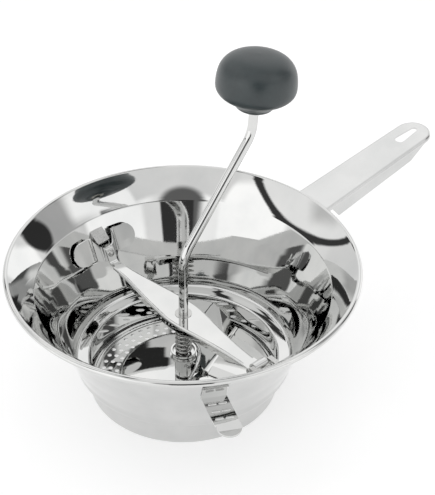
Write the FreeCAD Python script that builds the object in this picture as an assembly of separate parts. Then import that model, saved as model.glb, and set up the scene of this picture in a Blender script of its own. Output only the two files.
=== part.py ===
import FreeCAD, Part
import os
import math
from FreeCAD import Vector

# Hand cranked food mill.  Millimetres, +Z up, origin at the bottom centre of
# the bowl, handle along +X, crossbar along Y with its spring clip at +Y.

os.makedirs("parts", exist_ok=True)

# ---------------------------------------------------------------- dimensions
# bowl
T_BOWL = 0.8            # sheet thickness
R_RIM = 110.0           # outer radius over the rolled rim
Z_RIM = 91.9            # height of the rim roll's centre
R_ROLL = 1.9            # outer radius of the roll
R_CREASE = 92.4         # flare meets the conical wall
Z_CREASE = 76.5
R_STEP = 69.2           # foot of the wall
Z_STEP = 22.0
R_SKIRT = 60.6          # mid-surface radius of the straight skirt
R_LEDGE = 54.6          # inner radius of the ledge that carries the disc

# strainer disc
T_DISC = 0.8
R_DISC = 59.0           # outer radius of the upturned edge
Z_DISC = 1.50           # mid-surface height of the flat edge
HOLE_R = 1.45
HOLE_ROWS = ((52.9, 52), (48.4, 48), (43.9, 43))   # pitch radius, count
R_EYE = 3.5             # bore of the centre eyelet

# handle
W_ROOT = 14.2           # half width at the bowl
W_TIP = 12.8            # half width where the tip starts to round
X_ROOT = 104.0
X_TIP = 219.9
Z_HANDLE = 89.5         # top face height at x = 112
TILT = 8.1              # rise of the handle, degrees
T_HANDLE = 1.2
R_BEND = 2.0
FLANGE = 11.3           # depth of the side flange

# pot hooks
T_HOOK = 1.5
W_HOOK = 15.0
A_HOOK = 118.8          # azimuth of each hook from the handle, degrees
X_HOOK = 104.7          # reach of the hook's slope
SKEW_HOOK = 0.31        # sideways run of the slope, per unit outwards

# crossbar
Z_BAR = 54.0            # top face
T_BAR = 1.2
BAR_DEPTH = 5.2
BAR_PLAN = ((-66.0, 4.2), (-52.0, 5.2), (-36.0, 7.6), (-18.0, 10.2),
            (0.0, 11.6), (19.0, 9.2), (37.0, 6.6), (52.0, 5.2), (64.0, 4.8))
R_KNUCKLE = 3.1         # mid-surface radius of the rolled end
Y_KNUCKLE = 70.0        # distance of the rolled end from the shaft

# spring clip
T_CLIP = 0.8
CLIP_LEAN = 24.0        # lean of the clip, parallel to the bowl wall, degrees
CLIP_Z0 = 55.3
CLIP_H = 14.6
Y_TROUGH = 72.6         # crown of the clip's trough at CLIP_Z0
Y_RIDGE = 77.0          # ridges of the clip at CLIP_Z0
X_RIDGE = 9.0
R_RIDGE = 1.15
R_LPIN = 2.2            # pin through the rolled end
X_LPIN = 9.0            # its half length
EAR_L = 15.0

# shaft, spring and blade
R_ROD = 3.0
SHAFT_FIT = 0.05        # radial running clearance
Z_CUP = 21.6            # underside of the spring cup
R_CUP = 8.2
R_SPRING = 4.5          # mid radius of the coil
R_WIRE = 0.85
Z_SPRING0 = 22.9
Z_SPRING1 = 48.6
COILS = 8.0
R_BLADE = 55.3          # reach of the blade
T_BLADE = 1.0
A_FOLD = 23.1           # direction of the blade's fold lines, degrees
Z_PLATE = 6.1           # mid-surface height of the flat part
Z_FLAP = 20.0           # mid-surface height of the raised flap
U_RAMP0 = -12.85        # fold lines, measured square to A_FOLD from the shaft
U_RAMP1 = 5.6
U_LEAD = 22.0           # raised leading edge
A_TRAIL = -71.6         # direction of the trailing edge, degrees
N_TRAIL = 6.2           # its distance from the shaft
N_BAND = 13.0           # start of the trailing band that slopes to the disc
Z_BAND = 5.0            # height of the trailing edge

# crank
A_CRANK = 3.0           # azimuth of the crank arm at rest, degrees
R_ARM = 58.1            # reach of the arm at its top bend
Z_ARM = 162.0           # height of the top bend
LEAN = 5.0              # outward lean of the knob spindle, degrees

# knob
R_KNOB = 24.7
H_KNOB = 35.9


# ------------------------------------------------------------------- helpers
def xz(a, b):
    return Vector(a, 0, b)


def _unit(a, b):
    d = math.hypot(b[0] - a[0], b[1] - a[1])
    return ((b[0] - a[0]) / d, (b[1] - a[1]) / d)


def _offset(pts, d):
    """Mitred offset of an open polyline, to its left for d > 0."""
    out = []
    n = len(pts)
    for i in range(n):
        if i == 0:
            u = _unit(pts[0], pts[1])
            out.append((pts[0][0] - u[1] * d, pts[0][1] + u[0] * d))
        elif i == n - 1:
            u = _unit(pts[-2], pts[-1])
            out.append((pts[-1][0] - u[1] * d, pts[-1][1] + u[0] * d))
        else:
            u = _unit(pts[i - 1], pts[i])
            v = _unit(pts[i], pts[i + 1])
            nx, ny = -(u[1] + v[1]), (u[0] + v[0])
            k = 2.0 * d / (nx * nx + ny * ny)
            out.append((pts[i][0] + nx * k, pts[i][1] + ny * k))
    return out


def _turn(a, b, c):
    u = _unit(a, b)
    v = _unit(b, c)
    return u[0] * v[1] - u[1] * v[0]


def path_edges(pts, radii, to3d):
    """Line and arc edges along a polyline whose corners are rounded."""
    edges = []
    cur = pts[0]
    for i in range(1, len(pts) - 1):
        r = radii[i - 1]
        a, b, c = pts[i - 1], pts[i], pts[i + 1]
        u = _unit(a, b)
        v = _unit(b, c)
        cr = u[0] * v[1] - u[1] * v[0]
        dt = u[0] * v[0] + u[1] * v[1]
        ang = math.atan2(cr, dt)
        if r <= 1e-6 or abs(ang) < 1e-6:
            edges.append(Part.LineSegment(to3d(*cur), to3d(*b)).toShape())
            cur = b
            continue
        k = r * math.tan(abs(ang) / 2.0)
        p1 = (b[0] - u[0] * k, b[1] - u[1] * k)
        p2 = (b[0] + v[0] * k, b[1] + v[1] * k)
        s = 1.0 if ang > 0 else -1.0
        cx, cy = p1[0] - u[1] * r * s, p1[1] + u[0] * r * s
        mx, my = b[0] - cx, b[1] - cy
        m = math.hypot(mx, my)
        pm = (cx + mx / m * r, cy + my / m * r)
        if math.hypot(p1[0] - cur[0], p1[1] - cur[1]) > 1e-5:
            edges.append(Part.LineSegment(to3d(*cur), to3d(*p1)).toShape())
        edges.append(Part.Arc(to3d(*p1), to3d(*pm), to3d(*p2)).toShape())
        cur = p2
    if math.hypot(pts[-1][0] - cur[0], pts[-1][1] - cur[1]) > 1e-5:
        edges.append(Part.LineSegment(to3d(*cur), to3d(*pts[-1])).toShape())
    return edges


def sheet_face(pts, radii, t, to3d):
    """Closed face of a sheet of thickness t folded along a centre line."""
    sides = []
    for d in (t / 2.0, -t / 2.0):
        o = _offset(pts, d)
        rr = []
        for i in range(1, len(pts) - 1):
            s = 1.0 if _turn(pts[i - 1], pts[i], pts[i + 1]) > 0 else -1.0
            rr.append(max(radii[i - 1] - d * s, 0.0) if radii[i - 1] > 0 else 0.0)
        sides.append((o, rr))
    a = path_edges(sides[0][0], sides[0][1], to3d)
    b = path_edges(sides[1][0], sides[1][1], to3d)
    caps = [Part.LineSegment(to3d(*sides[0][0][0]), to3d(*sides[1][0][0])).toShape(),
            Part.LineSegment(to3d(*sides[0][0][-1]), to3d(*sides[1][0][-1])).toShape()]
    wire = Part.Wire(Part.__sortEdges__(a + b + caps))
    return Part.Face(wire)


def revolve(face, ang=360.0):
    return face.revolve(Vector(0, 0, 0), Vector(0, 0, 1), ang)


def poly_solid(pts3, vec):
    w = Part.makePolygon(pts3 + [pts3[0]])
    return Part.Face(w).extrude(vec)


def cyl(r, h, p, d=Vector(0, 0, 1)):
    return Part.makeCylinder(r, h, p, d)


def tube(r0, r1, h, p, d=Vector(0, 0, 1)):
    return cyl(r1, h, p, d).cut(cyl(r0, h + 2, p - d * 1.0, d))


def rotz(shape, ang):
    s = shape.copy()
    s.rotate(Vector(0, 0, 0), Vector(0, 0, 1), ang)
    return s


def polar(r, a, z):
    return Vector(r * math.cos(math.radians(a)), r * math.sin(math.radians(a)), z)


def save(name, shape):
    if shape.ShapeType == "Compound" and len(shape.Solids) == 1:
        shape = shape.Solids[0]
    shape.exportStep("parts/" + name + ".step")
    bb = shape.BoundBox
    print("%-20s solids %d valid %s vol %.1f  x %.1f..%.1f y %.1f..%.1f z %.1f..%.1f" % (
        name, len(shape.Solids), shape.isValid(), shape.Volume,
        bb.XMin, bb.XMax, bb.YMin, bb.YMax, bb.ZMin, bb.ZMax))


# ----------------------------------------------------------------------- bowl
# One sheet from the ledge under the disc, up the skirt, over the step, up the
# wall and the flare, and round the rolled rim.
rc = R_ROLL - T_BOWL / 2.0
cx, cz = R_RIM - R_ROLL, Z_RIM
# flare line, tangent to the roll on its upper inner side
ax, az = R_CREASE, Z_CREASE
L = math.hypot(cx - ax, cz - az)
phi = math.atan2(cz - az, cx - ax) + math.asin(rc / L)
dx, dz = math.cos(phi), math.sin(phi)
tx, tz = cx - dz * rc, cz + dx * rc
k1 = (tx + dx * rc, tz + dz * rc)
k2 = (k1[0] + dz * 2 * rc, k1[1] - dx * 2 * rc)
k3 = (k2[0] - dx * 2 * rc, k2[1] - dz * 2 * rc)
k4 = (k3[0] - dz * rc, k3[1] + dx * rc)
WALL = [(R_LEDGE, 0.4), (R_SKIRT, 0.4), (R_SKIRT, Z_STEP - 0.9), (R_STEP, Z_STEP),
        (R_STEP + 0.9, Z_STEP + 5.8), (75.8, 42.0), (83.9, 59.5),
        (R_CREASE, Z_CREASE)]
WALL_R = [1.4, 1.2, 2.6, 20.0, 70.0, 90.0, 7.0]
bowl_path = WALL + [k1, k2, k3, k4]
bowl_radii = WALL_R + [rc, rc, rc]
bowl = revolve(sheet_face(bowl_path, bowl_radii, T_BOWL, xz))
save("bowl", bowl)

# everything inside the bowl's outer surface, used to cope what is welded on
env_outer = _offset(WALL + [(tx, tz)], -T_BOWL / 2.0)
env_r = []
for i in range(1, len(WALL)):
    full = WALL + [(tx, tz)]
    s = 1.0 if _turn(full[i - 1], full[i], full[i + 1]) > 0 else -1.0
    env_r.append(WALL_R[i - 1] + T_BOWL / 2.0 * s)
env_edges = path_edges(env_outer, env_r, xz)
env_edges += [Part.LineSegment(xz(*env_outer[-1]), xz(0, env_outer[-1][1])).toShape(),
              Part.LineSegment(xz(0, env_outer[-1][1]), xz(0, env_outer[0][1])).toShape(),
              Part.LineSegment(xz(0, env_outer[0][1]), xz(*env_outer[0])).toShape()]
envelope = revolve(Part.Face(Part.Wire(Part.__sortEdges__(env_edges))))
roll_env = Part.makeTorus(cx, R_ROLL + 0.02, Vector(0, 0, cz))


def wall_r(z):
    """Mid-surface radius of the conical wall at height z."""
    pts = [(R_STEP + 0.9, Z_STEP + 5.8), (75.8, 42.0), (83.9, 59.5), (R_CREASE, Z_CREASE)]
    for (r0, z0), (r1, z1) in zip(pts[:-1], pts[1:]):
        if z <= z1:
            return r0 + (r1 - r0) * (z - z0) / (z1 - z0)
    return R_CREASE + (z - Z_CREASE) * dx / dz


# ------------------------------------------------------------- strainer disc
disc_path = [(R_DISC - T_DISC / 2, 3.5), (R_DISC - T_DISC / 2, Z_DISC), (56.4, Z_DISC),
             (55.7, Z_DISC + 0.55), (41.9, Z_DISC + 0.75), (40.6, Z_DISC + 1.7),
             (12.0, Z_DISC + 2.15), (4.6, Z_DISC + 2.15)]
disc = revolve(sheet_face(disc_path, [1.0, 1.2, 1.2, 1.2, 1.2, 80.0], T_DISC, xz))
holes = []
for row, (r, n) in enumerate(HOLE_ROWS):
    for i in range(n):
        a = 360.0 * (i + 0.5 * (row % 2)) / n
        holes.append(cyl(HOLE_R, 4.0, polar(r, a, 0.3)))
disc = disc.cut(Part.makeCompound(holes))
save("strainer_disc", disc)

z_eye = Z_DISC + 2.15
eye = tube(R_EYE, 4.55, 2.2, Vector(0, 0, z_eye - 1.1))
eye = eye.fuse(tube(R_EYE, 6.4, 0.5, Vector(0, 0, z_eye - T_DISC / 2 - 0.5)))
save("disc_eyelet", eye)

# --------------------------------------------------------------------- handle
# Top plate with both long edges folded down, drawn flat then tilted about
# y at x = 112.  s runs along the handle from x = 112.
def hw(s):
    return W_ROOT + (W_TIP - W_ROOT) * (s / (X_TIP - 112.0 - 12.0))


s0, s1 = X_ROOT - 112.0 - 4.0, X_TIP - 112.0
tip_r = W_TIP - 0.2
sc = s1 - tip_r
out = [Vector(s0, -hw(s0), 0), Vector(sc, -hw(sc), 0)]
e1 = Part.LineSegment(Vector(s0, -hw(s0), 0), Vector(sc, -hw(sc), 0)).toShape()
e2 = Part.Arc(Vector(sc, -hw(sc), 0), Vector(s1, 0, 0), Vector(sc, hw(sc), 0)).toShape()
e3 = Part.LineSegment(Vector(sc, hw(sc), 0), Vector(s0, hw(s0), 0)).toShape()
e4 = Part.LineSegment(Vector(s0, hw(s0), 0), Vector(s0, -hw(s0), 0)).toShape()
blank = Part.Face(Part.Wire([e1, e2, e3, e4])).extrude(Vector(0, 0, -FLANGE))
top_edges = []
for e in blank.Edges:
    bb = e.BoundBox
    if bb.ZMin > -0.01 and not (abs(bb.XMin - s0) < 0.01 and abs(bb.XMax - s0) < 0.01):
        top_edges.append(e)
blank = blank.makeFillet(R_BEND, top_edges)
inner = Part.Face(Part.Wire([
    Part.LineSegment(Vector(s0 - 2, -hw(s0) + T_HANDLE, 0), Vector(sc, -hw(sc) + T_HANDLE, 0)).toShape(),
    Part.Arc(Vector(sc, -hw(sc) + T_HANDLE, 0), Vector(s1 - T_HANDLE, 0, 0), Vector(sc, hw(sc) - T_HANDLE, 0)).toShape(),
    Part.LineSegment(Vector(sc, hw(sc) - T_HANDLE, 0), Vector(s0 - 2, hw(s0) - T_HANDLE, 0)).toShape(),
    Part.LineSegment(Vector(s0 - 2, hw(s0) - T_HANDLE, 0), Vector(s0 - 2, -hw(s0) + T_HANDLE, 0)).toShape(),
])).extrude(Vector(0, 0, -FLANGE - 2))
ie = []
for e in inner.Edges:
    bb = e.BoundBox
    if bb.ZMin > -0.01 and not (bb.XMax < s0):
        ie.append(e)
inner = inner.makeFillet(R_BEND - T_HANDLE, ie)
inner.translate(Vector(0, 0, -T_HANDLE))
handle = blank.cut(inner)
# side flange outline: slanted start beyond the rim, tapering, slanted end and
# a short turned-down lip round the tip
far = 60.0
trim = poly_solid([Vector(s0 - 5, -far, -R_BEND - 0.4), Vector(4.0, -far, -R_BEND - 0.4),
                   Vector(9.5, -far, -FLANGE - 0.01), Vector(9.5, -far, -30),
                   Vector(s0 - 5, -far, -30)], Vector(0, 2 * far, 0))
trim2 = poly_solid([Vector(9.4, -far, -FLANGE - 0.01), Vector(80.0, -far, -8.8),
                    Vector(94.0, -far, -2.4), Vector(s1 + 5, -far, -2.4),
                    Vector(s1 + 5, -far, -30), Vector(9.4, -far, -30)], Vector(0, 2 * far, 0))
handle = handle.cut(trim).cut(trim2)
# teardrop hanging hole, wide end towards the bowl
h0, h1, ha, hb = 85.0, 98.6, 3.5, 2.2
dd = h1 - h0
al = math.asin((ha - hb) / dd)
pA = Vector(h0 + ha * math.sin(al), ha * math.cos(al), 2)
pB = Vector(h1 + hb * math.sin(al), hb * math.cos(al), 2)
pC = Vector(pB.x, -pB.y, 2)
pD = Vector(pA.x, -pA.y, 2)
tear = Part.Face(Part.Wire([
    Part.LineSegment(pA, pB).toShape(),
    Part.Arc(pB, Vector(h1 + hb, 0, 2), pC).toShape(),
    Part.LineSegment(pC, pD).toShape(),
    Part.Arc(pD, Vector(h0 - ha, 0, 2), pA).toShape()])).extrude(Vector(0, 0, -8))
tear.translate(Vector(0, 1.2, 0))
handle = handle.cut(tear)
handle.translate(Vector(112.0, 0, Z_HANDLE))
handle.rotate(Vector(112.0, 0, Z_HANDLE), Vector(0, 1, 0), -TILT)
handle = handle.cut(envelope).cut(roll_env)
handle = max(handle.Solids, key=lambda s: s.Volume)
save("handle", handle)

# bracket under the root: lies on the flare's outside, then under the top plate
th = math.radians(TILT)


def under(x, d):
    """Height of a line d below the handle's top face at x."""
    return Z_HANDLE + (x - 112.0) * math.tan(th) - d / math.cos(th)


fx, fz = R_CREASE + 5.0 * dx, Z_CREASE + 5.0 * dz
tb = 1.5
off = T_BOWL / 2 + tb / 2 + 0.02
p_wall = (wall_r(66.0) + off / math.cos(math.radians(25.5)), 66.0)
p_cr = (R_CREASE + off * 1.03, Z_CREASE - off * 0.62)
p_knee = (R_CREASE + 11.5 * dx + dz * off, Z_CREASE + 11.5 * dz - dx * off)
d_in = T_HANDLE + tb / 2 + 0.02
# where the sloping line along the flare reaches the plate's underside
sx = 0.0
for i in range(400):
    sx = i * 0.05
    qx, qz = p_cr[0] + sx * dx, p_cr[1] + sx * dz
    if qz >= under(qx, d_in):
        break
p_top = (qx, under(qx, d_in))
p_end = (130.0, under(130.0, d_in))
br = sheet_face([p_wall, p_cr, p_top, p_end], [7.0, 3.0], tb, lambda a, b: Vector(a, -8.0, b))
bracket = br.extrude(Vector(0, 16.0, 0))
bracket = bracket.cut(envelope)
bracket = max(bracket.Solids, key=lambda s: s.Volume)
save("handle_bracket", bracket)

# ---------------------------------------------------------------- pot hooks
# Strip: flush with the conical wall under the flare, then an outward slope that
# runs a little to one side and ends in a rounded, levelled tip.
hk = T_BOWL / 2 + T_HOOK / 2 + 0.02
hx0 = wall_r(60.4) + hk / math.cos(math.radians(25.5))
hx1 = wall_r(73.2) + hk / math.cos(math.radians(25.5))
hw_ = W_HOOK / 2


def slab(a, b, ya, yb):
    """Flat piece of strip between two cross lines (x, z), shifted sideways."""
    u_ = _unit(a, b)
    n_ = Vector(-u_[1], 0, u_[0]) * (T_HOOK / 2)
    q = [Vector(a[0], ya - hw_, a[1]), Vector(a[0], ya + hw_, a[1]),
         Vector(b[0], yb + hw_, b[1]), Vector(b[0], yb - hw_, b[1])]
    return poly_solid([v - n_ for v in q], n_ * 2)


def bend_rod(a, ya):
    return cyl(T_HOOK / 2, W_HOOK, Vector(a[0], ya - hw_, a[1]), Vector(0, 1, 0))


ha_, hb_, hc_, hd_ = (hx1, 73.2), (hx0, 60.4), (X_HOOK, 49.8), (X_HOOK + 9.0, 48.4)
sc_ = SKEW_HOOK * (X_HOOK - hx0)
sd_ = sc_ + SKEW_HOOK * 9.0
hook = slab(ha_, hb_, 0, 0).fuse(bend_rod(hb_, 0)).fuse(slab(hb_, hc_, 0, sc_))
hook = hook.fuse(bend_rod(hc_, sc_)).fuse(slab(hc_, hd_, sc_, sd_))
# rounded end
x_end = X_HOOK + 4.4
yc_end = sc_ + 0.5
keep = Part.makeBox(x_end - hw_ - 60.0, 60.0, 60, Vector(60.0, -30.0, 30))
keep = keep.fuse(cyl(hw_ + 0.2, 60, Vector(x_end - hw_, yc_end - 0.6, 30)))
hook = hook.common(keep)
# ribs on the sloping face
ux, uz = _unit(hb_, hc_)
nx, nz = -uz, ux
for i, dist in enumerate((5.0, 9.6, 14.2)):
    for yc in (-3.1, 3.1):
        yc = yc + SKEW_HOOK * ux * dist
        c = Vector(hx0 + ux * dist + nx * (T_HOOK / 2 - 0.1), yc, 60.4 + uz * dist + nz * (T_HOOK / 2 - 0.1))
        rib = Part.makeCylinder(0.8, 3.6, c - Vector(0, 1.8, 0), Vector(0, 1, 0))
        rib = rib.fuse(Part.makeSphere(0.8, c - Vector(0, 1.8, 0))).fuse(Part.makeSphere(0.8, c + Vector(0, 1.8, 0)))
        hook = hook.fuse(rib)
hook = hook.cut(envelope)
hook = max(hook.Solids, key=lambda s: s.Volume)
save("support_hook_front", rotz(hook, -A_HOOK))
save("support_hook_rear", rotz(hook.mirror(Vector(0, 0, 0), Vector(0, 1, 0)), A_HOOK))

# ------------------------------------------------------------------ crossbar
def bar_outline(grow, y0, y1):
    pts = [(-x_, w_) for x_, w_ in BAR_PLAN]
    # y grows towards the clip end
    left = [Vector(-(w_ + grow), y_, 0) for y_, w_ in pts]
    right = [Vector(w_ + grow, y_, 0) for y_, w_ in pts]
    left = [Vector(p.x, p.y, 0) for p in left]
    bl = Part.BSplineCurve()
    bl.interpolate(left)
    brr = Part.BSplineCurve()
    brr.interpolate(right)
    return bl.toShape(), brr.toShape(), left, right


bl, brr, lp, rp = bar_outline(0.0, 0, 0)
w = Part.Wire(Part.__sortEdges__([bl, Part.LineSegment(lp[-1], rp[-1]).toShape(), brr,
                                 Part.LineSegment(rp[0], lp[0]).toShape()]))
bar = Part.Face(w).extrude(Vector(0, 0, -BAR_DEPTH))
longe = [e for e in bar.Edges if e.BoundBox.ZMin > -0.01 and e.BoundBox.YLength > 50]
bar = bar.makeFillet(1.6, longe)
il, ir, ilp, irp = bar_outline(-T_BAR, 0, 0)
# pocket from below, open at both ends
e0a, e0b = Vector(ilp[0].x, ilp[0].y + 3, 0), Vector(irp[0].x, irp[0].y + 3, 0)
e1a, e1b = Vector(ilp[-1].x, ilp[-1].y - 3, 0), Vector(irp[-1].x, irp[-1].y - 3, 0)
pocket = Part.Face(Part.Wire(Part.__sortEdges__([
    il, ir,
    Part.LineSegment(ilp[0], e0a).toShape(), Part.LineSegment(e0a, e0b).toShape(), Part.LineSegment(e0b, irp[0]).toShape(),
    Part.LineSegment(ilp[-1], e1a).toShape(), Part.LineSegment(e1a, e1b).toShape(), Part.LineSegment(e1b, irp[-1]).toShape(),
]))).extrude(Vector(0, 0, -BAR_DEPTH))
pocket.translate(Vector(0, 0, -T_BAR))
bar = bar.cut(pocket)
# flanges fade out towards both ends
for sgn, yend in ((1, 66.0), (-1, 64.0)):
    c = poly_solid([Vector(-30, sgn * (yend + 1), -T_BAR - 0.01), Vector(-30, sgn * (yend - 4), -T_BAR - 0.01),
                    Vector(-30, sgn * (yend - 16), -BAR_DEPTH - 0.1), Vector(-30, sgn * (yend + 1), -BAR_DEPTH - 0.1)],
                   Vector(60, 0, 0))
    bar = bar.cut(c)
bar.translate(Vector(0, 0, Z_BAR))
# rolled end (towards -Y): tongue curling up and back
zc = Z_BAR - T_BAR / 2
rk = R_KNUCKLE
yk = Y_KNUCKLE
curl = [(60.0, zc), (yk + rk, zc), (yk + rk, zc + 2 * rk), (yk - rk, zc + 2 * rk), (yk - rk, zc + rk - 0.6)]
curl_face = sheet_face(curl, [rk, rk, rk], T_BAR, lambda a, b: Vector(-4.8, -a, b))
bar = bar.fuse(curl_face.extrude(Vector(9.6, 0, 0)))
# turned-up end (towards +Y) that the clip is riveted to
lean = math.radians(CLIP_LEAN)
y_in = Y_TROUGH - T_CLIP / 2 - T_BAR / 2 / math.cos(lean) - 0.02


def clip_y(y0, z):
    return y0 + (z - CLIP_Z0) * math.tan(lean)


neck = [(60.0, zc), (clip_y(y_in, zc), zc), (clip_y(y_in, 62.6), 62.6)]
neck_face = sheet_face(neck, [2.4], T_BAR, lambda a, b: Vector(-3.0, a, b))
bar = bar.fuse(neck_face.extrude(Vector(6.0, 0, 0)))
# hole for the shaft bush
bar = bar.cut(cyl(4.6, 20, Vector(0, 0, Z_BAR - 10)))
rivet_z = 59.3
rivet_d = Vector(0, math.cos(lean), -math.sin(lean))
rivet_p = Vector(0, clip_y(Y_TROUGH, rivet_z), rivet_z)
bar = bar.cut(cyl(1.5, 12, rivet_p - rivet_d * 6, rivet_d))
bar = bar.removeSplitter()
save("crossbar", bar)

# bush: the shaft's bearing in the crossbar, flange below the plate
bush_r = R_ROD + SHAFT_FIT
bush = tube(bush_r, 4.6, 5.4, Vector(0, 0, Z_BAR - T_BAR - 3.9))
bush = bush.fuse(tube(bush_r, 6.6, 1.2, Vector(0, 0, Z_BAR - T_BAR - 1.2 - 0.001)))
bush = bush.fuse(tube(bush_r, 5.4, 0.35, Vector(0, 0, Z_BAR + 0.001)))
bush = bush.removeSplitter()
save("shaft_bush", bush)

# pin through the rolled end
pin = cyl(R_LPIN, 2 * X_LPIN, Vector(-X_LPIN, -yk, zc + rk), Vector(1, 0, 0))
pin = pin.makeFillet(0.5, [e for e in pin.Edges if e.Length < 20 and e.BoundBox.XLength < 0.01])
save("loop_pin", pin)

# -------------------------------------------------------------- spring clip
# Leaf bent to an M in plan: trough in the middle, ridge at each side, and a
# finger ear beyond each ridge.  The leaf leans parallel to the bowl wall.
def clip_plan(pts, radii, z0, h, t=T_CLIP):
    f = sheet_face(pts, radii, t, lambda a, b: Vector(a, b + (z0 - CLIP_Z0) * math.tan(lean), z0))
    return f.extrude(Vector(0, h * math.tan(lean), h))


yr, yt = Y_RIDGE, Y_TROUGH
centre = [(-X_RIDGE + 0.99, yr - 0.43), (-4.2, yt), (4.2, yt), (X_RIDGE - 0.99, yr - 0.43)]
clipc = clip_plan(centre, [2.4, 2.4], CLIP_Z0, CLIP_H)
# lower top edge over the trough
notch_top = CLIP_Z0 + CLIP_H
nt = Part.Face(Part.Wire([
    Part.LineSegment(Vector(-9.6, 60, notch_top + 1), Vector(9.6, 60, notch_top + 1)).toShape(),
    Part.LineSegment(Vector(9.6, 60, notch_top + 1), Vector(8.6, 60, notch_top - 0.2)).toShape(),
    Part.Arc(Vector(8.6, 60, notch_top - 0.2), Vector(0, 60, notch_top - 6.6), Vector(-8.6, 60, notch_top - 0.2)).toShape(),
    Part.LineSegment(Vector(-8.6, 60, notch_top - 0.2), Vector(-9.6, 60, notch_top + 1)).toShape()])).extrude(Vector(0, 30, 0))
clipc = clipc.cut(nt)
clipc = clipc.cut(cyl(1.5, 12, rivet_p - rivet_d * 6, rivet_d))
# direction of the leaf's edges
ax_d = Vector(0, math.sin(lean), math.cos(lean))
hl = CLIP_H / math.cos(lean)
save("crossbar_clip", clipc)


def ear(side):
    g = 0.45
    x0, y0 = X_RIDGE + g + 0.2, yr + 0.62
    pts = [(x0, y0), (x0 + 2.2, y0 - 0.1), (x0 + EAR_L, y0 - 1.4)]
    e = clip_plan(pts, [6.0], CLIP_Z0, CLIP_H)
    # D-shaped end: keep a rounded rectangle seen square to the leaf
    r_ = CLIP_H / 2.0
    zc_ = CLIP_Z0 + CLIP_H / 2.0
    m = Part.makeBox(EAR_L - r_ + 1.0, 60, CLIP_H + 2, Vector(x0 - 1.0, 50, CLIP_Z0 - 1.0))
    m = m.fuse(cyl(r_, 60, Vector(x0 + EAR_L - r_, 50, zc_), Vector(0, 1, 0)))
    e = e.common(m)
    # rolled ridge beside the trough, which the ear turns on
    e = e.fuse(cyl(R_RIDGE, hl - 1.0, Vector(X_RIDGE + 0.2, yr + 0.6, CLIP_Z0) + ax_d * 0.5, ax_d))
    if side < 0:
        e = e.mirror(Vector(0, 0, 0), Vector(1, 0, 0))
    return e


save("clip_ear_right", ear(1))
save("clip_ear_left", ear(-1))

# rivet through the neck and the trough
riv = cyl(1.5, T_BAR + T_CLIP + 0.1, rivet_p - rivet_d * (T_BAR + T_CLIP / 2 + 0.05), rivet_d)
head1 = Part.makeSphere(3.0, rivet_p + rivet_d * (T_CLIP / 2 + 0.02 - 1.9), rivet_d, 0, 90, 360)
head1 = Part.makeSphere(3.0, rivet_p - rivet_d * 1.6).common(cyl(5, 5, rivet_p + rivet_d * (T_CLIP / 2 + 0.0), rivet_d))
head2 = Part.makeSphere(3.0, rivet_p - rivet_d * (T_BAR + T_CLIP / 2 - 1.6)).common(
    cyl(5, 5, rivet_p - rivet_d * (T_BAR + T_CLIP / 2 + 0.02), rivet_d * -1))
riv = riv.fuse(head1).fuse(head2)
save("clip_rivet", riv)

# nose on the bowl wall that the trough's edge snaps under
z_l = notch_top - 6.6 + 0.5
yw0 = wall_r(z_l) - T_BOWL / 2
lug = [(yw0 + 1.5, z_l), (yw0 - 5.4, z_l), (yw0 - 5.0, z_l + 1.6), (wall_r(z_l + 7.5) + 0.3, z_l + 7.5)]
lw = Part.makePolygon([Vector(-5.0, a, b) for a, b in lug] + [Vector(-5.0, lug[0][0], lug[0][1])])
lug_s = Part.Face(lw).extrude(Vector(10.0, 0, 0))
try:
    lug_s = lug_s.makeFillet(0.7, [e for e in lug_s.Edges if e.BoundBox.YMax < yw0 - 3.0])
except Exception:
    pass
env_in = _offset(WALL + [(tx, tz)], T_BOWL / 2.0)
env_ri = []
for i in range(1, len(WALL)):
    full = WALL + [(tx, tz)]
    s = 1.0 if _turn(full[i - 1], full[i], full[i + 1]) > 0 else -1.0
    env_ri.append(WALL_R[i - 1] - T_BOWL / 2.0 * s)
ie_edges = path_edges(env_in, env_ri, xz)
ie_edges += [Part.LineSegment(xz(*env_in[-1]), xz(0, env_in[-1][1])).toShape(),
             Part.LineSegment(xz(0, env_in[-1][1]), xz(0, env_in[0][1])).toShape(),
             Part.LineSegment(xz(0, env_in[0][1]), xz(*env_in[0])).toShape()]
cavity = revolve(Part.Face(Part.Wire(Part.__sortEdges__(ie_edges))))
lug_s = lug_s.common(cavity)
lug_s = max(lug_s.Solids, key=lambda s: s.Volume)
save("clip_lug", lug_s)

# forked bracket on the wall, one prong over each end of the loop pin
zk = zc + rk + R_LPIN + 0.4
kz1 = 74.5
ka = wall_r(kz1) - T_BOWL / 2 - 0.6 / math.cos(math.radians(25.5))
kb = wall_r(zk + 3.2) - T_BOWL / 2 - 0.6 / math.cos(math.radians(25.5))
kp = [(ka, kz1), (kb, zk + 3.2), (kb - 3.6, zk + 0.6), (70.6, zk + 0.6)]
kf = sheet_face(kp, [1.6, 1.6], 1.2, lambda a, b: Vector(-9.0, -a, b))
keeper = kf.extrude(Vector(18.0, 0, 0)).common(cavity)
slot = Part.makeBox(11.2, 30.0, 40.0, Vector(-5.6, -(kb + 0.6), zk - 10.0))
keeper = keeper.cut(slot)
keeper = max(keeper.Solids, key=lambda s: s.Volume)
save("loop_keeper", keeper)

# ------------------------------------------------------------ spring and cup
pitch = (Z_SPRING1 - Z_SPRING0 - 2 * R_WIRE) / COILS
helix = Part.makeHelix(pitch, pitch * COILS, R_SPRING)
prof = Part.Wire([Part.Circle(Vector(R_SPRING, 0, 0), Vector(0, 1, 0), R_WIRE).toShape()])
spring = Part.Wire(helix).makePipeShell([prof], True, True)
spring.translate(Vector(0, 0, Z_SPRING0 + R_WIRE))
save("compression_spring", spring)

cup_path = [(R_ROD + 0.35, Z_CUP + 0.5), (R_CUP - 0.5, Z_CUP + 0.5), (R_CUP - 0.5, Z_CUP + 2.8)]
cup = revolve(sheet_face(cup_path, [1.3], 1.0, xz))
save("spring_cup", cup)

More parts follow.
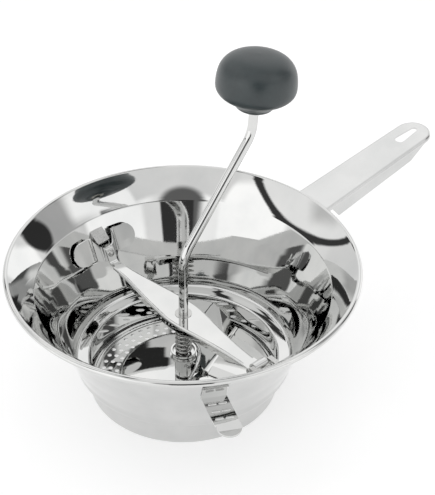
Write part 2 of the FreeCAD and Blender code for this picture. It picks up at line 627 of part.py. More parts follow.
# ------------------------------------------------------------------- crank
# thrust washer between the still cup and the turning hub
washer = tube(R_ROD + 0.05, 7.4, 0.8, Vector(0, 0, Z_CUP - 0.3 - 0.8))
save("thrust_washer", washer)
z_hub1 = Z_CUP - 0.3 - 0.8 - 0.01
hub = tube(R_ROD, 5.8, z_hub1 - 5.4, Vector(0, 0, 5.4))
hub = hub.fuse(tube(R_ROD, 8.6, 1.6, Vector(0, 0, z_hub1 - 1.6)))
hub = hub.removeSplitter()
hole = cyl(1.25, 30, polar(-15, 60, 15.0), polar(1, 60, 0))
hub_d = hub.cut(hole)
save("blade_hub", hub_d)
pin2 = cyl(1.25, 11.2, polar(-5.6, 60, 15.0), polar(1, 60, 0))
save("hub_pin", pin2)


# rod: up through the bush, bent to the arm, bent again to the knob spindle
def rod_wire():
    sx_, sz_ = math.sin(math.radians(LEAN)), math.cos(math.radians(LEAN))
    top = (R_ARM + sx_ * 44.0, Z_ARM + sz_ * 44.0)
    p = [(0.0, 2.6), (0.0, 98.0), (R_ARM, Z_ARM), top]
    return p, path_edges(p, [22.0, 20.0], xz)


rp_, re_ = rod_wire()
spine = Part.Wire(re_)
prof = Part.Wire([Part.Circle(Vector(0, 0, rp_[0][1]), Vector(0, 0, 1), R_ROD).toShape()])
rod = spine.makePipeShell([prof], True, True)
# crimped wings just above the crossbar
wing = Part.makeBox(8.4, 2.0, 2.6, Vector(-4.2, -1.0, Z_BAR + 4.0))
wing = wing.makeFillet(0.9, [e for e in wing.Edges if abs(e.BoundBox.YLength - 2.0) < 0.01])
rod = rod.fuse(rotz(wing, 45))
sd = Vector(math.sin(math.radians(LEAN)), 0, math.cos(math.radians(LEAN)))
rod_top = Vector(rp_[3][0], 0, rp_[3][1])
rod = rod.cut(rotz(hole, -A_CRANK))
rod = rod.removeSplitter()
save("crank_rod", rotz(rod, A_CRANK))

# ------------------------------------------------------------------ the blade
# Folded sheet: a band along the trailing edge that slopes to the disc, a flat
# plate, a straight ramp and a raised flap whose edge leads.
ca, sa = math.cos(math.radians(A_FOLD)), math.sin(math.radians(A_FOLD))
fold_dir = Vector(ca, sa, 0)


def fold3(u, z):
    return Vector(-sa * u - 80 * ca, ca * u - 80 * sa, z)


fold_path = [(-64.0, Z_PLATE), (U_RAMP0, Z_PLATE), (U_RAMP1, Z_FLAP), (34.0, Z_FLAP)]
folded = sheet_face(fold_path, [5.0, 3.0], T_BLADE, fold3).extrude(fold_dir * 160)
ct, st = math.cos(math.radians(A_TRAIL)), math.sin(math.radians(A_TRAIL))
# n grows away from the trailing edge, into the blade


def band3(n, z):
    return Vector(-st * n - 80 * ct, ct * n - 80 * st, z)


band_path = [(N_TRAIL - 3.0, Z_BAND - 3.0 * (Z_PLATE - Z_BAND) / (N_BAND - N_TRAIL)), (N_BAND, Z_PLATE), (80.0, Z_PLATE)]
band = sheet_face(band_path, [6.0], T_BLADE, band3).extrude(Vector(ct, st, 0) * 160)


def fold_box(u0, u1):
    q = [Vector(-sa * u_ + ca * t_, ca * u_ + sa * t_, -5) for u_, t_ in ((u0, -90), (u1, -90), (u1, 90), (u0, 90))]
    return poly_solid(q, Vector(0, 0, 60))


u_join = U_RAMP0 - 2.2
part_hi = folded.common(fold_box(u_join, U_LEAD))
part_lo = band.common(fold_box(-64.0, u_join + 0.01))
sheet = part_hi.fuse(part_lo)
# outline seen from above
tr = lambda n_, t_: Vector(-st * n_ + ct * t_, ct * n_ + st * t_, -5)
p1 = tr(N_TRAIL, 8.0)
p2 = tr(N_TRAIL, 70.0)
outline = [Vector(15.6, 60.0, -5), Vector(14.6, 7.6, -5), Vector(14.0, 0.6, -5), Vector(8.2, 1.0, -5), Vector(0, 0, -5), p1, p2,
           Vector(90, -90, -5), Vector(90, 60, -5)]
region = poly_solid(outline, Vector(0, 0, 60)).common(cyl(R_BLADE, 60, Vector(0, 0, -5)))
sheet = sheet.common(region)
# rolled bead along the edge next to the shaft, ending in a free tail
k_ramp = (Z_FLAP - Z_PLATE) / (U_RAMP1 - U_RAMP0)


def on_ramp(x_, y_, lift):
    u_ = -sa * x_ + ca * y_
    return Vector(x_, y_, Z_PLATE + k_ramp * (u_ - U_RAMP0) + lift)


bead_pts = [on_ramp(14.7, 8.4, 0.9), on_ramp(14.3, 0.9, 0.9), on_ramp(8.9, -4.2, 0.9), on_ramp(-5.0, -11.7, 0.5)]
bead_c = Part.BSplineCurve()
bead_c.interpolate(bead_pts)
bead_w = Part.Wire([bead_c.toShape()])
d0 = bead_c.tangent(bead_c.FirstParameter)[0]
bead = bead_w.makePipeShell([Part.Wire([Part.Circle(bead_pts[0], d0, 1.15).toShape()])], True, True)
bead = bead.fuse(Part.makeSphere(1.15, bead_pts[0])).fuse(Part.makeSphere(1.15, bead_pts[-1]))
blade = sheet.fuse(bead)
blade = blade.cut(cyl(5.8, 60, Vector(0, 0, 0)))
# coped round the hub's flange, and clear of the still cup above it
blade = blade.cut(cyl(8.6, 1.61, Vector(0, 0, z_hub1 - 1.6)))
blade = blade.cut(cyl(R_CUP + 0.8, 60, Vector(0, 0, z_hub1)))
blade = max(blade.Solids, key=lambda s_: s_.Volume)
save("press_blade", blade)

# ------------------------------------------------------------------- the knob
base = Vector(rp_[3][0], 0, rp_[3][1]) - sd * 26.4     # underside of the knob


def knob_place(shape):
    s = shape.copy()
    s.rotate(Vector(0, 0, 0), Vector(0, 1, 0), LEAN)
    s.translate(base)
    return rotz(s, A_CRANK)


kp_ = [(12.2, 2.4), (13.7, 3.7), (16.4, 6.1), (21.4, 9.2), (24.2, 12.6), (R_KNOB, 16.4),
       (24.35, 20.9), (23.1, 25.9), (20.0, 30.4), (14.2, 33.8), (7.0, 35.4), (0.0, H_KNOB)]
c1 = Part.BSplineCurve()
c1.interpolate([xz(*p) for p in kp_])
edges = [Part.LineSegment(xz(0, 0), xz(8.6, 0)).toShape(),
         Part.Arc(xz(8.6, 0), xz(10.9, 0.75), xz(12.2, 2.4)).toShape(),
         c1.toShape(),
         Part.LineSegment(xz(0, H_KNOB), xz(0, 0)).toShape()]
knob = Part.Face(Part.Wire(Part.__sortEdges__(edges))).revolve(Vector(0, 0, 0), Vector(0, 0, 1), 360)
knob = knob.cut(cyl(5.2, 31.0, Vector(0, 0, -1.0)))
save("knob", knob_place(knob))
sleeve = tube(R_ROD + SHAFT_FIT, 5.2, 24.0, Vector(0, 0, 1.0))
save("knob_sleeve", knob_place(sleeve))
kw = tube(R_ROD, 4.6, 1.2, Vector(0, 0, 25.4))
save("knob_washer", knob_place(kw))
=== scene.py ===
import math

import bpy
import bmesh
from mathutils import Matrix, Vector


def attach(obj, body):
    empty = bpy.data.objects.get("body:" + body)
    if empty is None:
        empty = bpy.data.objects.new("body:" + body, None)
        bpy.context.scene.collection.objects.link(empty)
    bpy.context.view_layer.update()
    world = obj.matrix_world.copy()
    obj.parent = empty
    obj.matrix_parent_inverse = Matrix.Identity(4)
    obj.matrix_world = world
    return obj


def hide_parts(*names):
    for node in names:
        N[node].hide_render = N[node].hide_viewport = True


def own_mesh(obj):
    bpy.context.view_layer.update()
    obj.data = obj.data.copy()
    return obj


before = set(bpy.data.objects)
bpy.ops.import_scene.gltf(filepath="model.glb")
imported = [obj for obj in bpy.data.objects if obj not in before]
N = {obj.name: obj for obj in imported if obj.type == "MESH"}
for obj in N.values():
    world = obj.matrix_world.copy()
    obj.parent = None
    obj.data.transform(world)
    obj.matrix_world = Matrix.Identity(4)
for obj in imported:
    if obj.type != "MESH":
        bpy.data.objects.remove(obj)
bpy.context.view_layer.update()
SC = bpy.context.scene
MM = 0.001


# ---------------------------------------------------------------- mesh helpers
def unit2(a, b):
    d = math.hypot(b[0] - a[0], b[1] - a[1])
    return ((b[0] - a[0]) / d, (b[1] - a[1]) / d)


def rounded(pts, radii, arc_deg=4.0, line=3.0, arc_min=6):
    """Points and left normals along a polyline whose corners are rounded."""
    out = []

    def add(p, n):
        if out and math.hypot(out[-1][0][0] - p[0], out[-1][0][1] - p[1]) < 1e-5:
            return
        out.append((p, n))

    def add_line(p, q):
        d = math.hypot(q[0] - p[0], q[1] - p[1])
        if d < 1e-6:
            return
        u = unit2(p, q)
        n = (-u[1], u[0])
        k = max(1, int(math.ceil(d / line)))
        # short first and last steps keep smooth shading tight to the bends
        ts = [0.0] + [i / k for i in range(1, k)] + [1.0]
        if d > 1.2:
            ts = sorted(set([0.0, 0.25 / d, 1 - 0.25 / d, 1.0] + ts[1:-1]))
        for t in ts:
            add((p[0] + (q[0] - p[0]) * t, p[1] + (q[1] - p[1]) * t), n)

    cur = pts[0]
    for i in range(1, len(pts) - 1):
        r = radii[i - 1]
        a, b, c = pts[i - 1], pts[i], pts[i + 1]
        u, v = unit2(a, b), unit2(b, c)
        ang = math.atan2(u[0] * v[1] - u[1] * v[0], u[0] * v[0] + u[1] * v[1])
        if r <= 1e-6 or abs(ang) < 1e-6:
            add_line(cur, b)
            cur = b
            continue
        k = r * math.tan(abs(ang) / 2)
        p1 = (b[0] - u[0] * k, b[1] - u[1] * k)
        p2 = (b[0] + v[0] * k, b[1] + v[1] * k)
        add_line(cur, p1)
        s = 1.0 if ang > 0 else -1.0
        cx, cy = p1[0] - u[1] * r * s, p1[1] + u[0] * r * s
        a0 = math.atan2(p1[1] - cy, p1[0] - cx)
        m = max(arc_min, int(math.ceil(math.degrees(abs(ang)) / arc_deg)))
        for j in range(m + 1):
            t = a0 + ang * j / m
            px, py = cx + r * math.cos(t), cy + r * math.sin(t)
            add((px, py), (-math.cos(t) * s, -math.sin(t) * s))
        cur = p2
    add_line(cur, pts[-1])
    return out


def skin(pts, radii, t, **kw):
    """Closed loop of points round a sheet of thickness t."""
    c = rounded(pts, radii, **kw)
    a = [(p[0] + n[0] * t / 2, p[1] + n[1] * t / 2) for p, n in c]
    b = [(p[0] - n[0] * t / 2, p[1] - n[1] * t / 2) for p, n in c]
    return a + b[::-1]


def new_obj(name, verts, faces, mat=None, smooth=True, sharp=None):
    me = bpy.data.meshes.new(name)
    me.from_pydata(verts, [], faces)
    me.update()
    bm = bmesh.new()
    bm.from_mesh(me)
    bmesh.ops.recalc_face_normals(bm, faces=bm.faces)
    bm.to_mesh(me)
    bm.free()
    ob = bpy.data.objects.new(name, me)
    SC.collection.objects.link(ob)
    if mat:
        me.materials.append(mat)
    for p in me.polygons:
        p.use_smooth = smooth
    if smooth and sharp is not None:
        me.set_sharp_from_angle(angle=math.radians(sharp))
    return ob


def lathe(name, loop, seg=360, mat=None, sharp=40, place=None, closed=True):
    """Turns a closed loop of (r, z) in mm round Z."""
    verts, faces = [], []
    n = len(loop)
    ring = []
    for r, z in loop:
        if r < 1e-6:
            ring.append([len(verts)])
            verts.append(Vector((0, 0, z)) * MM)
        else:
            row = []
            for i in range(seg):
                a = 2 * math.pi * i / seg
                row.append(len(verts))
                verts.append(Vector((r * math.cos(a), r * math.sin(a), z)) * MM)
            ring.append(row)
    for j in range(n if closed else n - 1):
        a, b = ring[j], ring[(j + 1) % n]
        if len(a) == 1 and len(b) == 1:
            continue
        for i in range(seg):
            k = (i + 1) % seg
            if len(a) == 1:
                faces.append((a[0], b[k], b[i]))
            elif len(b) == 1:
                faces.append((a[i], a[k], b[0]))
            else:
                faces.append((a[i], a[k], b[k], b[i]))
    if place is not None:
        verts = [place @ v for v in verts]
    return new_obj(name, verts, faces, mat, True, sharp)


def sweep(name, path, radius, seg=32, mat=None, cap=0.0):
    """Round bar along a list of points in mm, ends capped with a small chamfer."""
    P = [Vector(p) for p in path]
    T = []
    for i in range(len(P)):
        a = P[max(i - 1, 0)]
        b = P[min(i + 1, len(P) - 1)]
        T.append((b - a).normalized())
    ref = Vector((0, 1, 0))
    if abs(T[0].dot(ref)) > 0.9:
        ref = Vector((1, 0, 0))
    X = (ref - T[0] * ref.dot(T[0])).normalized()
    verts, faces, rows = [], [], []
    stations = []
    if cap > 0:
        for k in range(5):
            t = math.pi / 2 * k / 5
            stations.append((P[0] + T[0] * (cap * (1 - math.cos(t)) - 0.0), T[0], radius - cap + cap * math.sin(t), 0))
    for i in range(len(P)):
        q = P[i]
        if cap > 0 and i == 0:
            q = P[0] + T[0] * cap
        if cap > 0 and i == len(P) - 1:
            q = P[-1] - T[-1] * cap
        stations.append((q, T[i], radius, 0))
    if cap > 0:
        for k in range(1, 6):
            t = math.pi / 2 * k / 5
            stations.append((P[-1] - T[-1] * (cap - cap * math.sin(t)), T[-1], radius - cap + cap * math.cos(t), 0))
    for q, t, r, _ in stations:
        X = (X - t * X.dot(t)).normalized()
        Y = t.cross(X)
        row = []
        for i in range(seg):
            a = 2 * math.pi * i / seg
            row.append(len(verts))
            verts.append((q + (X * math.cos(a) + Y * math.sin(a)) * r) * MM)
        rows.append(row)
    for a, b in zip(rows[:-1], rows[1:]):
        for i in range(seg):
            k = (i + 1) % seg
            faces.append((a[i], a[k], b[k], b[i]))
    faces.append(tuple(rows[0][::-1]))
    faces.append(tuple(rows[-1]))
    return new_obj(name, verts, faces, mat, True, 40)


# ------------------------------------------------------------------ materials
def _nodes(name):
    m = bpy.data.materials.new(name)
    m.use_nodes = True
    nt = m.node_tree
    nt.nodes.clear()
    out = nt.nodes.new("ShaderNodeOutputMaterial")
    b = nt.nodes.new("ShaderNodeBsdfPrincipled")
    nt.links.new(b.outputs["BSDF"], out.inputs["Surface"])
    return m, nt, b


def _coord(nt, scale):
    tc = nt.nodes.new("ShaderNodeTexCoord")
    mp = nt.nodes.new("ShaderNodeMapping")
    mp.inputs["Scale"].default_value = scale
    nt.links.new(tc.outputs["Object"], mp.inputs["Vector"])
    return mp.outputs["Vector"]


def _noise(nt, vec, scale, detail=4.0, rough=0.5, dist=0.0):
    n = nt.nodes.new("ShaderNodeTexNoise")
    n.inputs["Scale"].default_value = scale
    n.inputs["Detail"].default_value = detail
    n.inputs["Roughness"].default_value = rough
    n.inputs["Distortion"].default_value = dist
    nt.links.new(vec, n.inputs["Vector"])
    return n.outputs["Fac"]


def _ramp(nt, fac, lo, hi, p0=0.3, p1=0.7):
    r = nt.nodes.new("ShaderNodeMapRange")
    r.inputs["From Min"].default_value = p0
    r.inputs["From Max"].default_value = p1
    r.inputs["To Min"].default_value = lo
    r.inputs["To Max"].default_value = hi
    nt.links.new(fac, r.inputs["Value"])
    return r.outputs["Result"]


def _mixcol(nt, fac, c0, c1):
    m = nt.nodes.new("ShaderNodeMix")
    m.data_type = "RGBA"
    m.inputs["A"].default_value = (*c0, 1)
    m.inputs["B"].default_value = (*c1, 1)
    nt.links.new(fac, m.inputs["Factor"])
    return m.outputs["Result"]


def _bump(nt, bsdf, height, strength, distance, prev=None):
    b = nt.nodes.new("ShaderNodeBump")
    b.inputs["Strength"].default_value = strength
    b.inputs["Distance"].default_value = distance
    nt.links.new(height, b.inputs["Height"])
    if prev is not None:
        nt.links.new(prev, b.inputs["Normal"])
    nt.links.new(b.outputs["Normal"], bsdf.inputs["Normal"])
    return b.outputs["Normal"]


def steel(name, dark=(0.64, 0.645, 0.64), light=(0.71, 0.71, 0.70), r0=0.02, r1=0.05,
          grain=(1, 1, 1), grain_scale=900.0, wave=0.03, wave_scale=28.0, scratch=0.015):
    """Steel sheet with faint clouding, smears, scratches and a slight waviness."""
    m, nt, b = _nodes(name)
    b.inputs["Metallic"].default_value = 1.0
    v = _coord(nt, (1, 1, 1))
    vg = _coord(nt, grain)
    cloud = _noise(nt, v, 40.0, 3.0, 0.5)
    nt.links.new(_mixcol(nt, _ramp(nt, cloud, 0.0, 1.0, 0.3, 0.7), dark, light), b.inputs["Base Color"])
    fine = _noise(nt, vg, grain_scale, 5.0, 0.65)
    smear = _noise(nt, v, 130.0, 5.0, 0.6, 0.6)
    add = nt.nodes.new("ShaderNodeMath")
    add.operation = "ADD"
    nt.links.new(_ramp(nt, fine, 0.0, 0.5), add.inputs[0])
    nt.links.new(_ramp(nt, smear, 0.0, 0.5), add.inputs[1])
    nt.links.new(_ramp(nt, add.outputs[0], r0, r1, 0.15, 0.85), b.inputs["Roughness"])
    big = _noise(nt, v, wave_scale, 2.0, 0.4)
    n1 = _bump(nt, b, big, wave, 0.002)
    _bump(nt, b, fine, scratch, 0.0002, n1)
    return m


MIRROR = steel("mirror_sheet", r0=0.012, r1=0.035, wave=0.015)
BOWL = steel("bowl_mirror", wave=0.012, wave_scale=16.0, r0=0.012, r1=0.035)
ROD_M = steel("rod_mirror", wave=0.0, r0=0.02, r1=0.045)
SATIN = steel("satin_steel", dark=(0.50, 0.50, 0.49), light=(0.60, 0.60, 0.59), r0=0.16, r1=0.30, wave=0.0, scratch=0.12,
              grain=(1, 1, 6), grain_scale=1500.0)
HANDLE_M = steel("handle_satin", dark=(0.60, 0.605, 0.60), light=(0.66, 0.66, 0.655), r0=0.08, r1=0.16, wave=0.0, scratch=0.05,
                 grain=(0.08, 1, 1), grain_scale=2600.0)
WIRE = steel("spring_wire", dark=(0.48, 0.48, 0.47), light=(0.60, 0.60, 0.58), r0=0.06, r1=0.14, wave=0.0, scratch=0.05)


def spun(name, rough, aniso):
    """Outside of the bowl: fine turning lines that run round the axis."""
    m, nt, b = _nodes(name)
    b.inputs["Metallic"].default_value = 1.0
    b.inputs["Anisotropic"].default_value = aniso
    v = _coord(nt, (1, 1, 1))
    lines = _coord(nt, (0.02, 0.02, 1))
    cloud = _noise(nt, v, 40.0, 3.0, 0.5)
    nt.links.new(_mixcol(nt, _ramp(nt, cloud, 0.0, 1.0, 0.3, 0.7), (0.60, 0.605, 0.60), (0.67, 0.67, 0.665)), b.inputs["Base Color"])
    fine = _noise(nt, lines, 2600.0, 4.0, 0.6)
    nt.links.new(_ramp(nt, fine, rough * 0.8, rough * 1.2), b.inputs["Roughness"])
    _bump(nt, b, fine, 0.03, 0.0002)
    tan = nt.nodes.new("ShaderNodeTangent")
    tan.direction_type = "RADIAL"
    tan.axis = "Z"
    nt.links.new(tan.outputs["Tangent"], b.inputs["Tangent"])
    return m


def soft_touch():
    m, nt, b = _nodes("soft_touch_knob")
    v = _coord(nt, (1, 1, 1))
    mott = _noise(nt, v, 90.0, 5.0, 0.6)
    nt.links.new(_mixcol(nt, _ramp(nt, mott, 0.0, 1.0, 0.35, 0.65), (0.019, 0.029, 0.032), (0.026, 0.039, 0.042)), b.inputs["Base Color"])
    fine = _noise(nt, v, 2600.0, 3.0, 0.6)
    nt.links.new(_ramp(nt, fine, 0.30, 0.40), b.inputs["Roughness"])
    b.inputs["Specular IOR Level"].default_value = 0.75
    b.inputs["Sheen Weight"].default_value = 0.03
    b.inputs["Sheen Roughness"].default_value = 0.4
    _bump(nt, b, fine, 0.25, 0.0002)
    return m


def nylon():
    m, nt, b = _nodes("nylon_sleeve")
    v = _coord(nt, (1, 1, 1))
    mott = _noise(nt, v, 200.0, 4.0, 0.5)
    nt.links.new(_mixcol(nt, mott, (0.62, 0.61, 0.56), (0.76, 0.75, 0.70)), b.inputs["Base Color"])
    nt.links.new(_ramp(nt, mott, 0.35, 0.5), b.inputs["Roughness"])
    _bump(nt, b, mott, 0.1, 0.0002)
    return m


SPUN = spun("bowl_outside", 0.05, 0.6)
KNOB_M = soft_touch()
NYLON = nylon()
for n, m in {
    "bowl": BOWL, "strainer_disc": MIRROR, "disc_eyelet": SATIN, "handle": HANDLE_M, "handle_bracket": SATIN,
    "support_hook_front": MIRROR, "support_hook_rear": MIRROR, "crossbar": MIRROR, "shaft_bush": SATIN,
    "loop_pin": SATIN, "crossbar_clip": MIRROR, "clip_ear_left": MIRROR, "clip_ear_right": MIRROR,
    "clip_rivet": SATIN, "clip_lug": SATIN, "loop_keeper": SATIN, "compression_spring": WIRE, "spring_cup": MIRROR,
    "thrust_washer": SATIN, "blade_hub": MIRROR, "hub_pin": SATIN, "crank_rod": ROD_M, "press_blade": MIRROR,
    "knob": KNOB_M, "knob_sleeve": NYLON, "knob_washer": SATIN,
}.items():
    o = N[n]
    o.data.materials.clear()
    o.data.materials.append(m)

# ----------------------------------------------------------------------- bowl
T = 0.8
R_RIM, Z_RIM, R_ROLL = 110.0, 91.9, 1.9
rc = R_ROLL - T / 2
cx, cz = R_RIM - R_ROLL, Z_RIM
ax, az = 92.4, 76.5
L = math.hypot(cx - ax, cz - az)
phi = math.atan2(cz - az, cx - ax) + math.asin(rc / L)
dx, dz = math.cos(phi), math.sin(phi)
tx, tz = cx - dz * rc, cz + dx * rc
k1 = (tx + dx * rc, tz + dz * rc)
k2 = (k1[0] + dz * 2 * rc, k1[1] - dx * 2 * rc)
k3 = (k2[0] - dx * 2 * rc, k2[1] - dz * 2 * rc)
k4 = (k3[0] - dz * rc, k3[1] + dx * rc)
# the flare is very slightly bell shaped, which spreads its reflections
BELL = 0.9
fx, fz = (ax + tx) / 2 - dz * BELL, (az + tz) / 2 + dx * BELL
bowl_pts = [(54.6, 0.4), (60.6, 0.4), (60.6, 21.1), (69.2, 22.0), (70.1, 27.8), (75.8, 42.0), (83.9, 59.5), (92.4, 76.5),
            (fx, fz), k1, k2, k3, k4]
bowl_rad = [1.4, 1.2, 2.6, 20.0, 70.0, 90.0, 7.0, 110.0, rc * 0.92, rc, rc]
bowl = lathe("bowl_shell", skin(bowl_pts, bowl_rad, T, arc_deg=5.0, line=2.0), 480, BOWL, sharp=50)
bowl.data.materials.append(SPUN)
for p in bowl.data.polygons:
    c, n = p.center, p.normal
    if c.z < 0.0885 and (n.x * c.x + n.y * c.y > 0.15 * math.hypot(c.x, c.y) or n.z < -0.5):
        p.material_index = 1
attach(bowl, "frame")
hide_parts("bowl")

# ------------------------------------------------------------------ crank rod
A_CRANK = math.radians(3.0)
LEAN = math.radians(5.0)
R_ARM, Z_ARM = 58.1, 162.0
top = (R_ARM + math.sin(LEAN) * 44.0, Z_ARM + math.cos(LEAN) * 44.0)
rod_c = rounded([(0.0, 2.6), (0.0, 98.0), (R_ARM, Z_ARM), top], [22.0, 20.0], arc_deg=3.0, line=6.0)
ca, sa = math.cos(A_CRANK), math.sin(A_CRANK)
rod = sweep("rod_bar", [(p[0] * ca, p[0] * sa, p[1]) for p, n in rod_c], 3.0, 40, ROD_M, cap=0.6)
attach(rod, "crank")
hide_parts("crank_rod")

# crimped wings on the rod, just above the crossbar
def box_obj(name, lo, hi, rot, mat, bevel=0.5):
    me = bpy.data.meshes.new(name)
    bm = bmesh.new()
    bmesh.ops.create_cube(bm, size=1.0)
    for v in bm.verts:
        v.co = Vector([lo[i] + (v.co[i] + 0.5) * (hi[i] - lo[i]) for i in range(3)]) * MM
    bmesh.ops.bevel(bm, geom=bm.edges[:], offset=bevel * MM, segments=4, profile=0.5, affect="EDGES")
    bm.transform(Matrix.Rotation(rot, 4, "Z"))
    bm.to_mesh(me)
    bm.free()
    me.materials.append(mat)
    for p in me.polygons:
        p.use_smooth = True
    me.set_sharp_from_angle(angle=math.radians(50))
    ob = bpy.data.objects.new(name, me)
    SC.collection.objects.link(ob)
    return ob


wing = box_obj("rod_wing", (-4.2, -1.0, 58.0), (4.2, 1.0, 60.6), math.radians(48.0), ROD_M)
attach(wing, "crank")
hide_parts("crank_rod")

# ----------------------------------------------------------------- coil spring
# the end turns are closed up, as on a real compression spring
Z_S0, Z_S1, R_S, R_W, TURNS = 22.9, 48.6, 4.5, 0.85, 8.0
END, P_END = 0.8, 1.8
P_MID = (Z_S1 - Z_S0 - 2 * R_W - 2 * END * P_END) / (TURNS - 2 * END)
coil = []
for i in range(int(TURNS * 40) + 1):
    t = i / 40.0
    z = P_END * min(t, END) + P_MID * min(max(t - END, 0.0), TURNS - 2 * END) + P_END * max(t - (TURNS - END), 0.0)
    coil.append((R_S * math.cos(2 * math.pi * t), R_S * math.sin(2 * math.pi * t), Z_S0 + R_W + z))
spring = sweep("spring_coil", coil, R_W, 16, WIRE, cap=0.2)
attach(spring, "spring_seat")
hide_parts("compression_spring")
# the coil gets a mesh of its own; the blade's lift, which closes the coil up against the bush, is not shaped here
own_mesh(spring)

# --------------------------------------------------------------------- camera
CAM = Vector((-0.4543, -0.5359, 0.6309))
E, AL, ROLL = math.radians(36.78), math.radians(42.0), math.radians(0.6)
back = Vector((0, -math.cos(E), math.sin(E)))
right = Vector((1, 0, 0))
up = right.cross(-back)
r2 = math.cos(ROLL) * right + math.sin(ROLL) * up
u2 = -math.sin(ROLL) * right + math.cos(ROLL) * up
Rz = Matrix.Rotation(-AL, 3, "Z")
target = Rz @ Vector((0.021, 0.0186, 0.0)) + Vector((0, 0, 0.092))
r2, u2, bk = Rz @ r2, Rz @ u2, Rz @ back
pos = target + bk * 0.900
cam = bpy.data.cameras.new("cam")
cam.sensor_fit = "HORIZONTAL"
cam.sensor_width = 36.0
cam.lens = 1442.6 / 435.0 * 36.0
cam.clip_start = 0.01
cam.clip_end = 50.0
cam_ob = bpy.data.objects.new("cam", cam)
cam_ob.matrix_world = Matrix(((r2.x, u2.x, bk.x, pos.x), (r2.y, u2.y, bk.y, pos.y), (r2.z, u2.z, bk.z, pos.z), (0, 0, 0, 1)))
SC.collection.objects.link(cam_ob)
SC.camera = cam_ob

# ---------------------------------------------------------- floor and lighting
fm, fnt, fb = _nodes("pale_floor")
fv = _coord(fnt, (1, 1, 1))
fnoise = _noise(fnt, fv, 3.0, 3.0, 0.5)
fnt.links.new(_mixcol(fnt, fnoise, (0.62, 0.62, 0.62), (0.65, 0.65, 0.65)), fb.inputs["Base Color"])
fb.inputs["Roughness"].default_value = 0.9
fb.inputs["Specular IOR Level"].default_value = 0.1
fb.inputs["Emission Color"].default_value = (1.0, 1.0, 1.0, 1)
fb.inputs["Emission Strength"].default_value = 0.52
floor = new_obj("floor", [(-6, -6, 0), (6, -6, 0), (6, 6, 0), (-6, 6, 0)], [(0, 1, 2, 3)], fm, False)

world = bpy.data.worlds.new("studio")
SC.world = world
world.use_nodes = True
wt = world.node_tree
wt.nodes.clear()
w_out = wt.nodes.new("ShaderNodeOutputWorld")
w_bg = wt.nodes.new("ShaderNodeBackground")
wt.links.new(w_bg.outputs[0], w_out.inputs[0])
w_tc = wt.nodes.new("ShaderNodeTexCoord")


def w_math(op, a, b=None, c=None, clamp=False):
    n = wt.nodes.new("ShaderNodeMath")
    n.operation = op
    n.use_clamp = clamp
    for i, x in enumerate((a, b, c)):
        if x is None:
            continue
        if isinstance(x, (int, float)):
            n.inputs[i].default_value = x
        else:
            wt.links.new(x, n.inputs[i])
    return n.outputs[0]


def w_dot(vec):
    n = wt.nodes.new("ShaderNodeVectorMath")
    n.operation = "DOT_PRODUCT"
    wt.links.new(w_tc.outputs["Generated"], n.inputs[0])
    n.inputs[1].default_value = vec
    return n.outputs["Value"]


def w_smooth(x, lo, hi, a=0.0, b=1.0):
    n = wt.nodes.new("ShaderNodeMapRange")
    n.interpolation_type = "SMOOTHSTEP"
    n.inputs["From Min"].default_value = lo
    n.inputs["From Max"].default_value = hi
    n.inputs["To Min"].default_value = a
    n.inputs["To Max"].default_value = b
    wt.links.new(x, n.inputs["Value"])
    return n.outputs["Result"]


def w_card(az_cam, el, half_w, half_h, soft=3.0):
    """Mask of a soft edged rectangular panel seen from the object, in degrees.
    az_cam is counted from the camera's right, anticlockwise from above."""
    a = math.radians(az_cam) - AL
    e = math.radians(el)
    c = Vector((math.cos(e) * math.cos(a), math.cos(e) * math.sin(a), math.sin(e)))
    side = Vector((-math.sin(a), math.cos(a), 0))
    upv = c.cross(side) * -1.0
    upv = side.cross(c) * -1.0
    if upv.z < 0:
        upv = -upv
    dc = w_dot(c)
    front = w_math("GREATER_THAN", dc, 0.01)
    dcs = w_math("MAXIMUM", dc, 0.01)
    x = w_math("ABSOLUTE", w_math("DIVIDE", w_dot(side), dcs))
    y = w_math("ABSOLUTE", w_math("DIVIDE", w_dot(upv), dcs))
    tw, th = math.tan(math.radians(half_w)), math.tan(math.radians(half_h))
    s = math.tan(math.radians(soft))
    mx = w_smooth(x, tw - s, tw + s, 1.0, 0.0)
    my = w_smooth(y, th - s, th + s, 1.0, 0.0)
    return w_math("MULTIPLY", w_math("MULTIPLY", mx, my), front)


def w_dir(az_cam, el):
    a = math.radians(az_cam) - AL
    e = math.radians(el)
    c = Vector((math.cos(e) * math.cos(a), math.cos(e) * math.sin(a), math.sin(e)))
    side = Vector((-math.sin(a), math.cos(a), 0))
    upv = c.cross(side)
    if upv.z < 0:
        upv = -upv
    return c, side, upv


def w_disc(az_cam, el, r, soft):
    """Mask of a round lamp or flag."""
    c, _, _ = w_dir(az_cam, el)
    lo, hi = math.cos(math.radians(r + soft)), math.cos(math.radians(max(r - soft, 0)))
    return w_smooth(w_dot(c), lo, hi, 0.0, 1.0)


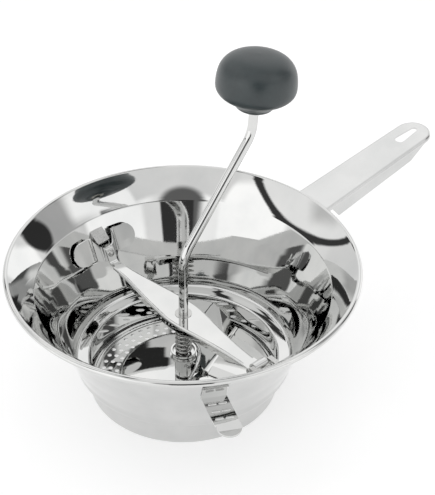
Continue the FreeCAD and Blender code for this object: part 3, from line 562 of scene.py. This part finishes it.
def w_oval(az_cam, el, a, b, rot, n=2.4):
    """1 on the edge of a rounded panel, less inside it."""
    c, side, upv = w_dir(az_cam, el)
    cr, sr = math.cos(math.radians(rot)), math.sin(math.radians(rot))
    dc = w_dot(c)
    dcs = w_math("MAXIMUM", dc, 0.05)
    X = w_math("ABSOLUTE", w_math("DIVIDE", w_dot((side * cr + upv * sr) / math.tan(math.radians(a))), dcs))
    Y = w_math("ABSOLUTE", w_math("DIVIDE", w_dot((upv * cr - side * sr) / math.tan(math.radians(b))), dcs))
    q = w_math("POWER", w_math("ADD", w_math("POWER", X, n), w_math("POWER", Y, n)), 1.0 / n)
    behind = w_math("LESS_THAN", dc, 0.05)
    return w_math("ADD", q, w_math("MULTIPLY", behind, 50.0))


def w_band(q, at, half, soft):
    return w_smooth(w_math("ABSOLUTE", w_math("SUBTRACT", q, at)), half - soft, half + soft, 1.0, 0.0)


KEY = 1.2                # overall brightness of the room
value = 0.80 * KEY


def put(mask, level):
    """Lays a panel of the given brightness over what is there."""
    global value
    n = wt.nodes.new("ShaderNodeMix")
    n.data_type = "FLOAT"
    wt.links.new(mask, n.inputs["Factor"])
    if isinstance(value, float):
        n.inputs["A"].default_value = value
    else:
        wt.links.new(value, n.inputs["A"])
    n.inputs["B"].default_value = level * KEY
    value = n.outputs["Result"]


# soft white banks round the table
put(w_card(-140, 22, 30, 27, 4), 1.12)
put(w_card(5, 30, 22, 20, 9), 0.42)
put(w_card(-30, 38, 26, 10, 5), 1.05)
put(w_card(-35, 13, 22, 6, 3), 1.08)
put(w_card(-106, 14, 9.5, 12, 2), 1.0)
put(w_card(47, 7, 13, 9, 2), 1.1)
put(w_card(91, 41, 17, 9, 2), 1.0)
put(w_card(135, 8, 14, 10, 4), 0.72)
# the dark gap between the upper and lower banks
put(w_card(-46, 30, 20, 3.5, 1.5), 0.10)
# grey ceiling in front, and the dark camera side of the room
put(w_card(-86, 54, 28, 12, 2), 0.74)
put(w_disc(-88, 29, 17, 2.5), 0.12)
put(w_card(-84, 13, 12, 15, 1), 0.035)
put(w_disc(27, 20, 9, 1.5), 0.03)
put(w_card(21, 45.5, 9, 7.5, 2), 0.10)
put(w_disc(33, 76.5, 8.2, 0.8), 0.03)
# one large round lamp on the left, with its dark rim
lamp = w_oval(162, 46, 32, 29, 25)
put(w_smooth(lamp, 0.93, 0.99, 1.0, 0.0), 0.88)
put(w_card(160, 34, 9, 8, 5), 0.55)
put(w_band(lamp, 1.0, 0.08, 0.03), 0.04)
wt.links.new(value, w_bg.inputs["Strength"])
w_bg.inputs["Color"].default_value = (1.0, 1.0, 1.0, 1)

SC.view_settings.view_transform = "Standard"
